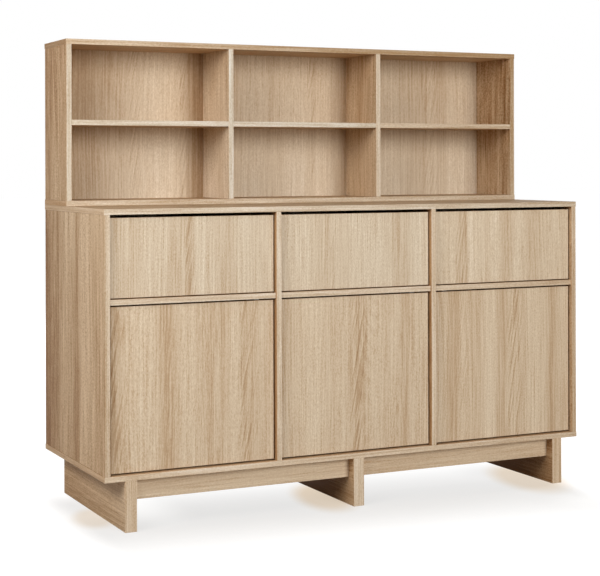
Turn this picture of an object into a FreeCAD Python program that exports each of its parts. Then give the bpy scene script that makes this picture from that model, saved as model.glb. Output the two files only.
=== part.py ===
import FreeCAD, Part
import os
import re
import Sketcher

# A wide oak-faced chest: three drawers over three doors, an open hutch standing at
# the back of the top, and an underframe of three thick leg panels with aprons.
# Millimetres. The origin is on the floor under the middle of the chest. X runs along
# the front, Y towards the back, Z up. The fronts face -Y.

# Driving sizes. Each one is a cell of the sheet and can be changed by itself.
SIZES = {
    # Whole cabinet
    "cabinet_width": 1600,
    "cabinet_depth": 575,
    "board": 16,
    "top_overhang": 1.5,
    "edge_round": 0.8,
    # Base carcass
    "cupboard_height": 476,
    "drawer_space": 237,
    "deck_setback": 5,
    "back_sheet": 3,
    "back_inset": 10,
    "groove_depth": 6,
    "sheet_play": 0.1,
    "sheet_end_play": 0.5,
    # Hutch
    "hutch_depth": 225,
    "niche_height": 226.5,
    "shelf_setback": 1,
    "hutch_sheet": 4,
    "hutch_sheet_inset": 7,
    # Underframe
    "leg_height": 144,
    "leg_thickness": 35,
    "leg_inset": 60,
    "apron_height": 60,
    "apron_setback": 32,
    # Drawer fronts and doors, inset in the carcass
    "front_board": 16,
    "front_setback": 13,
    "drawer_side_gap": 4,
    "drawer_top_gap": 9,
    "drawer_bottom_gap": 3,
    "door_gap": 5,
    # Drawer boxes
    "box_board": 12,
    "box_rear_gap": 83,
    "box_height": 175,
    "box_lift": 10,
    "bottom_sheet": 3,
    "bottom_lift": 10,
    # Ball runners beside each drawer box
    "runner_space": 12.7,
    "runner_start": 2,
    "runner_end": 8,
    "travel_share": 0.75,
    "runner_lift": 45,
    "runner_height": 35,
    "runner_reach": 10,
    "runner_wall": 1.5,
    "slide_height": 22,
    "slide_reach": 8.2,
    "ball_play": 0.3,
    "ball_end": 14,
    "cage_wall": 0.8,
    "cage_play": 0.6,
    "cage_reach": 7,
    "cage_margin": 5,
    # Loose shelf in each cupboard, on four pins
    "cupboard_shelf_setback": 30,
    "cupboard_shelf_play": 0.5,
    "pin_radius": 2.5,
    "pin_grip": 7,
    "pin_reach": 8,
    "pin_setback": 45,
    "pin_play": 0.1,
    # Single-pivot cup hinges
    "hinge_margin": 80,
    "hinge_pin_inset": 4,
    "hinge_pin_depth": 5.5,
    "hinge_pin_radius": 1.25,
    "hinge_pin_play": 0.05,
    "eye_radius": 2.4,
    "eye_height": 9,
    "ear_gap": 0.3,
    "ear_thickness": 1.2,
    "notch_play": 0.5,
    "cup_radius": 13,
    "cup_centre": 22,
    "cup_depth": 11,
    "cup_wall": 1,
    "cup_play": 0.1,
    "flange_height": 48,
    "flange_thickness": 1.2,
    "strap_thickness": 3,
    "strap_back": 3.5,
    "plate_length": 42,
    "plate_height": 24,
    "plate_thickness": 2.5,
    "hinge_screw_radius": 3.5,
    "hinge_screw_height": 1.4,
    # Push latches under the decks
    "latch_inset": 45,
    "latch_width": 16,
    "latch_height": 14,
    "latch_length": 60,
    "latch_gap": 4,
    "latch_wall": 5,
    "plunger_radius": 3,
    "plunger_length": 44,
    "plunger_play": 0.3,
    # Screws that hold the legs and the hutch
    "screw_radius": 3,
    "screw_head_radius": 5.5,
    "screw_head_height": 3,
    "screw_play": 0.1,
    "screw_end_play": 2,
    "leg_screw_bite": 34,
    "leg_screw_inset": 70,
    "hutch_screw_bite": 11,
    "hutch_screw_inset": 55,
    "socket_share": 0.45,
    # Overrun of every cut past the face that it opens
    "overrun": 1,
}

# Places and sizes worked out from the driving sizes.
FORMULAS = {
    "front": "-cabinet_depth / 2",
    "rear": "cabinet_depth / 2",
    "side_outer": "cabinet_width / 2 - top_overhang",
    "side_inner": "side_outer - board",
    "bay_width": "(2 * side_inner - 2 * board) / 3",
    "bay_step": "bay_width + board",
    # Levels of the base
    "floor_top": "leg_height + board",
    "deck_under": "floor_top + cupboard_height",
    "deck_top": "deck_under + board",
    "top_under": "deck_top + drawer_space",
    "base_top": "top_under + board",
    "sheet_front": "rear - back_inset - back_sheet",
    # Levels of the hutch
    "hutch_front": "rear - hutch_depth",
    "hutch_floor": "base_top + board",
    "shelf_under": "hutch_floor + niche_height",
    "shelf_top": "shelf_under + board",
    "hutch_under": "shelf_top + niche_height",
    "hutch_sheet_front": "rear - hutch_sheet_inset - hutch_sheet",
    # Fronts
    "face": "front + front_setback",
    "face_back": "face + front_board",
    "drawer_low": "deck_top + drawer_bottom_gap",
    "drawer_high": "top_under - drawer_top_gap",
    "door_low": "floor_top + door_gap",
    "door_high": "deck_under - door_gap",
    "door_width": "bay_width - 2 * door_gap",
    # Drawer boxes and runners
    "box_width": "bay_width - 2 * runner_space",
    "box_length": "sheet_front - box_rear_gap - face_back",
    "box_low": "drawer_low + box_lift",
    "box_inner": "box_width - 2 * box_board",
    "box_sheet_low": "box_low + bottom_lift + sheet_play",
    "box_sheet_top": "box_sheet_low + bottom_sheet",
    "runner_front": "face_back + runner_start",
    "runner_length": "box_length - runner_start - runner_end",
    "runner_travel": "runner_length * travel_share",
    "runner_level": "box_low + runner_lift",
    "ball_radius": "(runner_height - 2 * runner_wall - slide_height) / 4 - ball_play",
    "ball_level": "(runner_height - 2 * runner_wall + slide_height) / 4",
    "cage_length": "runner_length - runner_travel - 2 * cage_margin",
    "cage_front": "runner_front + runner_travel / 2 + cage_margin",
    # Loose shelves
    "loose_under": "floor_top + (cupboard_height - board) / 2",
    "loose_front": "face_back + cupboard_shelf_setback",
    "loose_depth": "sheet_front - cupboard_shelf_play - loose_front",
    # Hinges
    "pin_level": "face + hinge_pin_depth",
    "ear_reach": "eye_height / 2 + ear_gap + ear_thickness",
    "notch_half": "ear_reach + notch_play",
    "notch_front": "pin_level - eye_radius - notch_play",
    "strap_front": "face_back + strap_back",
    # Latches
    "latch_front": "face_back + latch_gap",
    "latch_axis": "deck_under - latch_height / 2",
    # Screws
    "leg_middle": "cabinet_width / 2 - leg_inset - leg_thickness / 2",
    "screw_hole": "screw_radius + screw_play",
}

BAYS = ("left", "middle", "right")
doc = FreeCAD.newDocument("chest")
sheet = doc.addObject("Spreadsheet::Sheet", "sizes")
nodes = []


def fill_sheet():
    for row, (name, value) in enumerate(SIZES.items(), start=1):
        sheet.set("A%d" % row, name)
        sheet.set("B%d" % row, str(value))
        sheet.setAlias("B%d" % row, name)
    doc.recompute()


def expand(formula):
    """The formula with every name replaced by its cell or by its own formula."""
    def swap(match):
        word = match.group(0)
        if word in SIZES:
            return "sizes." + word
        return "(" + expand(FORMULAS[word]) + ")"
    return re.sub(r"[a-z][a-z_]*", swap, formula)


def bind(item, name, formula):
    item.setExpression(name, expand(formula))


def place(item, corner):
    for axis, formula in zip("xyz", corner):
        bind(item, "Placement.Base." + axis, formula)
    return item


def node(item, label):
    """Marks an object as a sub-part whose file takes this label."""
    item.Label = label
    nodes.append(item)
    return item


def span(low, high):
    return "(%s) - (%s)" % (high, low)


# Solids that everything is made of


def rectangle(sketch, width, depth):
    """A fully constrained rectangle from the sketch's origin."""
    corners = [FreeCAD.Vector(x, y, 0) for x, y in ((0, 0), (1, 0), (1, 1), (0, 1))]
    for number in range(4):
        line = Part.LineSegment(corners[number], corners[(number + 1) % 4])
        sketch.addGeometry(line, False)
    for number in range(4):
        joint = Sketcher.Constraint("Coincident", number, 2, (number + 1) % 4, 1)
        sketch.addConstraint(joint)
    for number, kind in enumerate(("Horizontal", "Vertical", "Horizontal", "Vertical")):
        sketch.addConstraint(Sketcher.Constraint(kind, number))
    sketch.addConstraint(Sketcher.Constraint("Coincident", 0, 1, -1, 1))
    wide = sketch.addConstraint(Sketcher.Constraint("DistanceX", 0, 1, 0, 2, 1))
    deep = sketch.addConstraint(Sketcher.Constraint("DistanceY", 1, 1, 1, 2, 1))
    bind(sketch, "Constraints[%d]" % wide, width)
    bind(sketch, "Constraints[%d]" % deep, depth)


def board(name, low, high):
    """A board between two corners, with lightly rounded edges."""
    body = doc.addObject("PartDesign::Body", name)
    plane = [item for item in body.Origin.OriginFeatures if item.Role == "XY_Plane"][0]
    sketch = body.newObject("Sketcher::SketchObject", name + "_outline")
    sketch.AttachmentSupport = (plane, [""])
    sketch.MapMode = "FlatFace"
    rectangle(sketch, span(low[0], high[0]), span(low[1], high[1]))
    pad = body.newObject("PartDesign::Pad", name + "_pad")
    pad.Profile = sketch
    bind(pad, "Length", span(low[2], high[2]))
    doc.recompute()
    edges = body.newObject("PartDesign::Fillet", name + "_edges")
    edges.Base = (pad, ["Edge%d" % (n + 1) for n in range(len(pad.Shape.Edges))])
    bind(edges, "Radius", "edge_round")
    return place(body, low)


def block(name, low, high):
    """A plain box between two corners."""
    item = doc.addObject("Part::Box", name)
    for side, start, end in zip(("Length", "Width", "Height"), low, high):
        bind(item, side, span(start, end))
    return place(item, low)


TURNS = {
    "+X": FreeCAD.Rotation(FreeCAD.Vector(0, 1, 0), 90),
    "+Y": FreeCAD.Rotation(FreeCAD.Vector(1, 0, 0), -90),
    "+Z": FreeCAD.Rotation(),
}


def rod(name, start, axis, radius, length):
    """A cylinder from a start point along a row axis."""
    item = doc.addObject("Part::Cylinder", name)
    item.Placement = FreeCAD.Placement(FreeCAD.Vector(), TURNS[axis])
    bind(item, "Radius", radius)
    bind(item, "Height", length)
    return place(item, start)


def ball(name, centre, radius):
    item = doc.addObject("Part::Sphere", name)
    bind(item, "Radius", radius)
    return place(item, centre)


def fuse(name, shapes):
    item = doc.addObject("Part::MultiFuse", name)
    item.Shapes = shapes
    return item


def cut(name, base, tools):
    tool = tools[0]
    if len(tools) > 1:
        tool = fuse(name + "_tools", tools)
    item = doc.addObject("Part::Cut", name)
    item.Base = base
    item.Tool = tool
    return item


def group(name, shapes):
    """Separate solids that share one node."""
    item = doc.addObject("Part::Compound", name)
    item.Links = shapes
    return item


def carved_board(name, low, high, tools):
    return node(cut(name, board(name + "_blank", low, high), tools), name)


# Places that several sub-parts share


def bay_left(bay):
    return "-side_inner + %d * bay_step" % bay


def bay_right(bay):
    return "-side_inner + %d * bay_step + bay_width" % bay


def leg_centres():
    return {"left": "-leg_middle", "middle": "0", "right": "leg_middle"}


def leg_screw_spots():
    """Plan positions of the screws down into the legs."""
    rows = ("front + leg_screw_inset", "rear - leg_screw_inset")
    return [(x, y) for x in leg_centres().values() for y in rows]


def hutch_screw_spots():
    """Plan positions of the screws up into the hutch, two in each bay."""
    rows = ("hutch_front + hutch_screw_inset", "rear - hutch_screw_inset")
    middle = "(%s + bay_width / 2)"
    return [(middle % bay_left(bay), y) for bay in range(3) for y in rows]


def shelf_pin_spots():
    """Walls and depths where the pins of a loose shelf sit."""
    rows = ("loose_front + pin_setback", "loose_front + loose_depth - pin_setback")
    return [(side, y) for side in ("left", "right") for y in rows]


def shelf_pin(name, bay, side, y, play="0"):
    """A pin in one wall of a bay, or its hole where it gets play all round."""
    start = "%s - pin_grip - %s" % (bay_left(bay), play)
    if side == "right":
        start = "%s - pin_reach - %s" % (bay_right(bay), play)
    spot = (start, y, "loose_under - pin_radius")
    return rod(name, spot, "+X", "pin_radius + " + play, "pin_grip + pin_reach + 2 * " + play)


def pin_holes(name, bay, side):
    """The holes for the shelf pins in the wall on one side of a bay."""
    rows = [y for wall, y in shelf_pin_spots() if wall == side]
    holes = []
    for number, y in enumerate(rows):
        label = "%s_pin_hole_%s_%d" % (name, side, number)
        holes.append(shelf_pin(label, bay, side, y, "pin_play"))
    return holes


# Base carcass


def base_groove_box(name, x, z):
    """A groove for the base's back sheet: x and z are (low, high) pairs."""
    low = (x[0], "sheet_front - sheet_play", z[0])
    high = (x[1], "sheet_front + back_sheet + sheet_play", z[1])
    return block(name, low, high)


def hutch_groove_box(name, x, z):
    low = (x[0], "hutch_sheet_front - sheet_play", z[0])
    high = (x[1], "hutch_sheet_front + hutch_sheet + sheet_play", z[1])
    return block(name, low, high)


def groove_sides(name, groove, z):
    """Left and right grooves, cut into the inner faces of the two sides."""
    left = ("-side_inner - groove_depth", "-side_inner + overrun")
    right = ("side_inner - overrun", "side_inner + groove_depth")
    return {
        "left": groove(name + "_groove_left", left, z),
        "right": groove(name + "_groove_right", right, z),
    }


GROOVE_SPAN = ("-side_inner - groove_depth", "side_inner + groove_depth")


def make_base_boards():
    screw_holes = []
    for number, (x, y) in enumerate(leg_screw_spots()):
        start = (x, y, "leg_height - overrun")
        hole = rod("leg_screw_way_%d" % number, start, "+Z", "screw_hole", "board + 2 * overrun")
        screw_holes.append(hole)
    groove = base_groove_box(
        "base_bottom_groove", GROOVE_SPAN, ("floor_top - groove_depth", "floor_top + overrun"))
    carved_board(
        "base_bottom",
        ("-cabinet_width / 2", "front", "leg_height"),
        ("cabinet_width / 2", "rear", "floor_top"),
        screw_holes + [groove])

    screw_holes = []
    for number, (x, y) in enumerate(hutch_screw_spots()):
        start = (x, y, "top_under - overrun")
        hole = rod("hutch_screw_way_%d" % number, start, "+Z", "screw_hole", "board + 2 * overrun")
        screw_holes.append(hole)
    groove = base_groove_box(
        "base_top_groove", GROOVE_SPAN, ("top_under - overrun", "top_under + groove_depth"))
    carved_board(
        "base_top_board",
        ("-cabinet_width / 2", "front", "top_under"),
        ("cabinet_width / 2", "rear", "base_top"),
        screw_holes + [groove])

    grooves = groove_sides("base", base_groove_box, ("floor_top - overrun", "top_under + overrun"))
    walls = {
        "left": ("-side_outer", "-side_inner", 0),
        "right": ("side_inner", "side_outer", 2),
    }
    for side, (low, high, bay) in walls.items():
        name = "base_side_" + side
        carved_board(
            name,
            (low, "front", "floor_top"),
            (high, "rear", "top_under"),
            [grooves[side]] + pin_holes(name, bay, side))

    for number, side in enumerate(("left", "right")):
        name = "base_divider_" + side
        holes = pin_holes(name, number, "right") + pin_holes(name, number + 1, "left")
        carved_board(
            name,
            (bay_right(number), "front", "floor_top"),
            (bay_left(number + 1), "sheet_front", "top_under"),
            holes)

    for number, bay in enumerate(BAYS):
        deck = board(
            "drawer_deck_" + bay,
            (bay_left(number), "front + deck_setback", "deck_under"),
            (bay_right(number), "sheet_front", "deck_top"))
        node(deck, "drawer_deck_" + bay)

    reach = "groove_depth - sheet_end_play"
    back = block(
        "base_back_sheet",
        ("-side_inner - (%s)" % reach, "sheet_front", "floor_top - (%s)" % reach),
        ("side_inner + %s" % reach, "sheet_front + back_sheet", "top_under + %s" % reach))
    node(back, "base_back_sheet")


# Hutch


def make_hutch():
    blind = "hutch_screw_bite + screw_end_play"
    holes = []
    for number, (x, y) in enumerate(hutch_screw_spots()):
        start = (x, y, "base_top - overrun")
        name = "hutch_screw_end_%d" % number
        holes.append(rod(name, start, "+Z", "screw_hole", "overrun + " + blind))
    groove = hutch_groove_box(
        "hutch_bottom_groove", GROOVE_SPAN, ("hutch_floor - groove_depth", "hutch_floor + overrun"))
    carved_board(
        "hutch_bottom_board",
        ("-cabinet_width / 2", "hutch_front", "base_top"),
        ("cabinet_width / 2", "rear", "hutch_floor"),
        holes + [groove])

    groove = hutch_groove_box(
        "hutch_top_groove", GROOVE_SPAN, ("hutch_under - overrun", "hutch_under + groove_depth"))
    carved_board(
        "hutch_top_board",
        ("-cabinet_width / 2", "hutch_front", "hutch_under"),
        ("cabinet_width / 2", "rear", "hutch_under + board"),
        [groove])

    z = ("hutch_floor - overrun", "hutch_under + overrun")
    grooves = groove_sides("hutch", hutch_groove_box, z)
    walls = {"left": ("-side_outer", "-side_inner"), "right": ("side_inner", "side_outer")}
    for side, (low, high) in walls.items():
        carved_board(
            "hutch_side_" + side,
            (low, "hutch_front", "hutch_floor"),
            (high, "rear", "hutch_under"),
            [grooves[side]])

    for number, side in enumerate(("left", "right")):
        divider = board(
            "hutch_divider_" + side,
            (bay_right(number), "hutch_front", "hutch_floor"),
            (bay_left(number + 1), "hutch_sheet_front", "hutch_under"))
        node(divider, "hutch_divider_" + side)

    for number, bay in enumerate(BAYS):
        shelf = board(
            "hutch_shelf_" + bay,
            (bay_left(number), "hutch_front + shelf_setback", "shelf_under"),
            (bay_right(number), "hutch_sheet_front", "shelf_top"))
        node(shelf, "hutch_shelf_" + bay)

    reach = "groove_depth - sheet_end_play"
    back = block(
        "hutch_back_sheet",
        ("-side_inner - (%s)" % reach, "hutch_sheet_front", "hutch_floor - (%s)" % reach),
        ("side_inner + %s" % reach, "hutch_sheet_front + hutch_sheet", "hutch_under + %s" % reach))
    node(back, "hutch_back_sheet")


# Underframe


def make_underframe():
    depth = "leg_screw_bite + screw_end_play"
    for side, centre in leg_centres().items():
        holes = []
        for number, y in enumerate(("front + leg_screw_inset", "rear - leg_screw_inset")):
            start = (centre, y, "leg_height - (%s)" % depth)
            name = "leg_%s_screw_hole_%d" % (side, number)
            holes.append(rod(name, start, "+Z", "screw_hole", depth + " + overrun"))
        carved_board(
            "leg_" + side,
            (centre + " - leg_thickness / 2", "front", "0"),
            (centre + " + leg_thickness / 2", "rear", "leg_height"),
            holes)

    spans = {
        "left": ("-leg_middle + leg_thickness / 2", "-leg_thickness / 2"),
        "right": ("leg_thickness / 2", "leg_middle - leg_thickness / 2"),
    }
    rows = {
        "front": ("front + apron_setback", "front + apron_setback + board"),
        "rear": ("rear - apron_setback - board", "rear - apron_setback"),
    }
    for row, (near, far) in rows.items():
        for side, (low, high) in spans.items():
            name = "apron_%s_%s" % (row, side)
            apron = board(
                name, (low, near, "leg_height - apron_height"), (high, far, "leg_height"))
            node(apron, name)


# Loose cupboard shelves and their pins


def make_cupboard_shelves():
    shelves = []
    pins = []
    for number, bay in enumerate(BAYS):
        shelves.append(board(
            "loose_shelf_" + bay,
            (bay_left(number) + " + cupboard_shelf_play", "loose_front", "loose_under"),
            (bay_right(number) + " - cupboard_shelf_play", "loose_front + loose_depth",
             "loose_under + board")))
        for index, (side, y) in enumerate(shelf_pin_spots()):
            pins.append(shelf_pin("shelf_pin_%s_%d" % (bay, index), number, side, y))
    node(group("cupboard_shelves", shelves), "cupboard_shelves")
    node(group("shelf_pins", pins), "shelf_pins")


# Drawers


def make_drawer(number, bay):
    left = bay_left(number)
    right = bay_right(number)
    inner = left + " + runner_space + box_board"
    inner_end = right + " - runner_space - box_board"
    tongue = "groove_depth - sheet_end_play"
    slot = ("box_sheet_low - sheet_play", "box_sheet_top + sheet_play")

    name = "drawer_front_" + bay
    groove = block(
        name + "_groove",
        (inner + " - groove_depth", "face_back - groove_depth", slot[0]),
        (inner_end + " + groove_depth", "face_back + overrun", slot[1]))
    carved_board(
        name,
        (left + " + drawer_side_gap", "face", "drawer_low"),
        (right + " - drawer_side_gap", "face_back", "drawer_high"),
        [groove])

    walls = {
        "left": (left + " + runner_space", inner, inner + " - groove_depth", inner + " + overrun"),
        "right": (inner_end, right + " - runner_space",
                  inner_end + " - overrun", inner_end + " + groove_depth"),
    }
    sides = []
    for side, (low, high, cut_low, cut_high) in walls.items():
        name = "drawer_side_%s_%s" % (bay, side)
        groove = block(
            name + "_groove",
            (cut_low, "face_back - overrun", slot[0]),
            (cut_high, "face_back + box_length + overrun", slot[1]))
        blank = board(
            name + "_blank",
            (low, "face_back", "box_low"),
            (high, "face_back + box_length", "box_low + box_height"))
        sides.append(cut(name, blank, [groove]))
    node(group("drawer_sides_" + bay, sides), "drawer_sides_" + bay)

    back = board(
        "drawer_back_" + bay,
        (inner, "face_back + box_length - box_board", "box_sheet_top + sheet_play"),
        (inner_end, "face_back + box_length", "box_low + box_height"))
    node(back, "drawer_back_" + bay)

    bottom = block(
        "drawer_bottom_" + bay,
        (inner + " - (%s)" % tongue, "face_back - (%s)" % tongue, "box_sheet_low"),
        (inner_end + " + %s" % tongue, "face_back + box_length", "box_sheet_top"))
    node(bottom, "drawer_bottom_" + bay)


# Ball runners: a channel on the carcass, a ball cage, and a smaller channel on the drawer


def channel(name, wall, sign, near, far, half, thickness):
    """A C section that opens away from its web: near and far are distances from the wall."""
    web_end = "%s + %s" % (near, thickness)
    y = ("runner_front", "runner_front + runner_length")
    outer = side_block(name + "_outer", wall, sign, (near, far), y, half)
    hollow_y = ("runner_front - overrun", "runner_front + runner_length + overrun")
    inner_half = "%s - %s" % (half, thickness)
    hollow = side_block(
        name + "_hollow", wall, sign, (web_end, far + " + overrun"), hollow_y, inner_half)
    return cut(name, outer, [hollow])


def side_block(name, wall, sign, offsets, y, half):
    """A box beside a wall: offsets grow away from the wall along sign."""
    near, far = offsets
    low, high = ("%s + %s" % (wall, near), "%s + %s" % (wall, far))
    if sign < 0:
        low, high = ("%s - (%s)" % (wall, far), "%s - (%s)" % (wall, near))
    return block(
        name,
        (low, y[0], "runner_level - (%s)" % half),
        (high, y[1], "runner_level + %s" % half))


def make_ball_cage(name, wall, sign, balls):
    web = ("runner_wall + cage_play", "runner_wall + cage_play + cage_wall")
    arm = ("runner_wall + cage_play", "runner_wall + cage_play + cage_reach")
    y = ("cage_front", "cage_front + cage_length")
    outer_half = "ball_level + cage_wall / 2"
    shapes = []
    outer = side_block(name + "_outer", wall, sign, arm, y, outer_half)
    hollow_y = (y[0] + " - overrun", y[1] + " + overrun")
    hollow = side_block(
        name + "_hollow", wall, sign, (web[1], arm[1] + " + overrun"), hollow_y,
        "ball_level - cage_wall / 2")
    shapes.append(cut(name + "_strip", outer, [hollow]))
    turn = "+" if sign > 0 else "-"
    x = "%s %s (runner_wall + cage_play + cage_reach / 2)" % (wall, turn)
    for row, level in enumerate(("runner_level + ball_level", "runner_level - ball_level")):
        for number in range(balls):
            share = number / (balls - 1)
            spot = "cage_front + ball_end + %g * (cage_length - 2 * ball_end)" % share
            centre = (x, spot, level)
            shapes.append(ball("%s_ball_%d_%d" % (name, row, number), centre, "ball_radius"))
    return fuse(name, shapes)


BALLS_PER_ROW = 5


def make_runners():
    fixed = []
    for number, bay in enumerate(BAYS):
        moving = []
        cages = []
        for side, wall, sign in (("left", bay_left(number), 1), ("right", bay_right(number), -1)):
            name = "%s_%s" % (bay, side)
            fixed.append(channel(
                "cabinet_runner_" + name, wall, sign, "0", "runner_reach",
                "runner_height / 2", "runner_wall"))
            box_wall = "%s + runner_space" % wall
            if sign < 0:
                box_wall = "%s - runner_space" % wall
            moving.append(channel(
                "drawer_runner_" + name, box_wall, -sign, "0", "slide_reach",
                "slide_height / 2", "runner_wall"))
            cages.append(make_ball_cage("ball_cage_" + name, wall, sign, BALLS_PER_ROW))
        node(group("drawer_runners_" + bay, moving), "drawer_runners_" + bay)
        node(group("ball_cages_" + bay, cages), "ball_cages_" + bay)
    node(group("cabinet_runners", fixed), "cabinet_runners")


# Doors on single-pivot cup hinges


def from_edge(edge, sign, low, high):
    """X range between two distances from the hinge edge, towards the free edge."""
    if sign > 0:
        return ("%s + %s" % (edge, low), "%s + %s" % (edge, high))
    return ("%s - (%s)" % (edge, high), "%s - (%s)" % (edge, low))


def at_edge(edge, sign, distance):
    if sign > 0:
        return "%s + %s" % (edge, distance)
    return "%s - (%s)" % (edge, distance)


HINGE_LEVELS = {"low": "door_low + hinge_margin", "high": "door_high - hinge_margin"}
PLATE_SCREW_SHARES = (0.3, 0.8)


def hinge_block(name, edge, sign, x, y, level, half):
    low, high = from_edge(edge, sign, *x)
    return block(
        name,
        (low, y[0], "%s - (%s)" % (level, half)),
        (high, y[1], "%s + %s" % (level, half)))


def make_hinge_seat(name, edge, sign, level):
    """What is cut out of the door for one hinge: the cup's bore and the knuckle's notch."""
    x = at_edge(edge, sign, "cup_centre")
    bore = rod(
        name + "_bore", (x, "face_back - cup_depth - cup_play", level), "+Y",
        "cup_radius + cup_play", "cup_depth + cup_play + overrun")
    notch = hinge_block(
        name + "_notch", edge, sign, ("(-overrun)", "cup_centre"),
        ("notch_front", "face_back + overrun"), level, "notch_half")
    return [bore, notch]


def make_hinge_cup(name, edge, sign, level):
    """The pressed cup with its flange and the two ears that hold the pin."""
    x = at_edge(edge, sign, "cup_centre")
    cup = rod(name + "_cup", (x, "face_back - cup_depth", level), "+Y", "cup_radius", "cup_depth")
    flange = hinge_block(
        name + "_flange", edge, sign,
        ("cup_centre - cup_radius", "cup_centre + cup_radius"),
        ("face_back", "face_back + flange_thickness"), level, "flange_height / 2")
    shell = fuse(name + "_shell", [cup, flange])
    hollow = rod(
        name + "_hollow", (x, "face_back - cup_depth + cup_wall", level), "+Y",
        "cup_radius - cup_wall", "cup_depth + flange_thickness")
    mouth = hinge_block(
        name + "_mouth", edge, sign, ("cup_centre - cup_radius - overrun", "cup_centre"),
        ("face_back - cup_depth + cup_wall", "face_back + flange_thickness + overrun"), level,
        "eye_height / 2 + ear_gap")
    shapes = [cut(name + "_open_shell", shell, [hollow, mouth])]
    for turn, way in (("upper", "+"), ("lower", "-")):
        middle = "%s %s (ear_reach - ear_thickness / 2)" % (level, way)
        ear = hinge_block(
            "%s_ear_%s" % (name, turn), edge, sign,
            ("hinge_pin_inset", "cup_centre - cup_radius + 3 * cup_wall"),
            ("pin_level - eye_radius", "pin_level + eye_radius"), middle, "ear_thickness / 2")
        round_end = rod(
            "%s_ear_end_%s" % (name, turn),
            (at_edge(edge, sign, "hinge_pin_inset"), "pin_level", middle + " - ear_thickness / 2"),
            "+Z", "eye_radius", "ear_thickness")
        screw = rod(
            "%s_screw_%s" % (name, turn),
            (x, "face_back + flange_thickness",
             "%s %s (flange_height / 2 - 1.5 * hinge_screw_radius)" % (level, way)),
            "+Y", "hinge_screw_radius", "hinge_screw_height")
        shapes += [ear, round_end, screw]
    bore = rod(
        name + "_pin_bore",
        (at_edge(edge, sign, "hinge_pin_inset"), "pin_level", "%s - ear_reach - overrun" % level),
        "+Z", "hinge_pin_radius + hinge_pin_play", "2 * (ear_reach + overrun)")
    return cut(name, fuse(name + "_solid", shapes), [bore])


def make_hinge_pin(name, edge, sign, level):
    spot = (at_edge(edge, sign, "hinge_pin_inset"), "pin_level", "%s - ear_reach" % level)
    return rod(name, spot, "+Z", "hinge_pin_radius", "2 * ear_reach")


def make_hinge_arm(name, edge, sign, level):
    """The fixed arm: an eye on the pin, a strap out of the notch and a plate on the wall."""
    spot = at_edge(edge, sign, "hinge_pin_inset")
    eye = rod(name + "_eye", (spot, "pin_level", "%s - eye_height / 2" % level), "+Z",
              "eye_radius", "eye_height")
    strap_x = ("hinge_pin_inset - strap_thickness / 2", "hinge_pin_inset + strap_thickness / 2")
    strap = hinge_block(
        name + "_strap", edge, sign, strap_x, ("pin_level", "strap_front + strap_thickness"),
        level, "eye_height / 2")
    elbow = hinge_block(
        name + "_elbow", edge, sign, ("(-door_gap)", strap_x[1]),
        ("strap_front", "strap_front + strap_thickness"), level, "eye_height / 2")
    plate = hinge_block(
        name + "_plate", edge, sign, ("(-door_gap)", "plate_thickness - door_gap"),
        ("strap_front", "strap_front + plate_length"), level, "plate_height / 2")
    shapes = [eye, strap, elbow, plate]
    for number, share in enumerate(PLATE_SCREW_SHARES):
        head = hinge_block(
            "%s_head_%d" % (name, number), edge, sign,
            ("plate_thickness - door_gap", "plate_thickness + hinge_screw_height - door_gap"),
            ("strap_front + %g * plate_length - hinge_screw_radius" % share,
             "strap_front + %g * plate_length + hinge_screw_radius" % share),
            level, "hinge_screw_radius")
        shapes.append(head)
    bore = rod(
        name + "_bore", (spot, "pin_level", "%s - eye_height / 2 - overrun" % level), "+Z",
        "hinge_pin_radius + hinge_pin_play", "eye_height + 2 * overrun")
    return cut(name, fuse(name + "_solid", shapes), [bore])


def make_latch(bay, edge, sign):
    """A push latch under the deck near the door's free edge, and its plunger."""
    middle = at_edge(edge, sign, "(door_width - latch_inset)")
    housing = board(
        "latch_%s_housing" % bay,
        (middle + " - latch_width / 2", "latch_front", "deck_under - latch_height"),
        (middle + " + latch_width / 2", "latch_front + latch_length", "deck_under"))
    bore = rod(
        "latch_%s_bore" % bay, (middle, "latch_front - overrun", "latch_axis"), "+Y",
        "plunger_radius + plunger_play", "latch_length - latch_wall + overrun")
    plunger = rod(
        "latch_%s_rod" % bay, (middle, "face_back + plunger_play", "latch_axis"), "+Y",
        "plunger_radius", "plunger_length")
    node(plunger, "latch_plunger_" + bay)
    return cut("latch_%s_body" % bay, housing, [bore])


def make_doors():
    arms = []
    latches = []
    for number, bay in enumerate(BAYS):
        sign = -1 if bay == "right" else 1
        left = bay_left(number) + " + door_gap"
        right = bay_right(number) + " - door_gap"
        edge = left if sign > 0 else right
        seats = []
        cups = []
        for place_name, level in HINGE_LEVELS.items():
            name = "hinge_%s_%s" % (bay, place_name)
            seats += make_hinge_seat(name + "_seat", edge, sign, level)
            cups.append(make_hinge_cup(name + "_part", edge, sign, level))
            cups.append(make_hinge_pin(name + "_pin", edge, sign, level))
            arms.append(make_hinge_arm(name + "_arm", edge, sign, level))
        carved_board("door_" + bay, (left, "face", "door_low"), (right, "face_back", "door_high"), seats)
        node(group("hinge_cups_" + bay, cups), "hinge_cups_" + bay)
        latches.append(make_latch(bay, edge, sign))
    node(group("hinge_arms", arms), "hinge_arms")
    node(group("latch_bodies", latches), "latch_bodies")


# Screws


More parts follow.
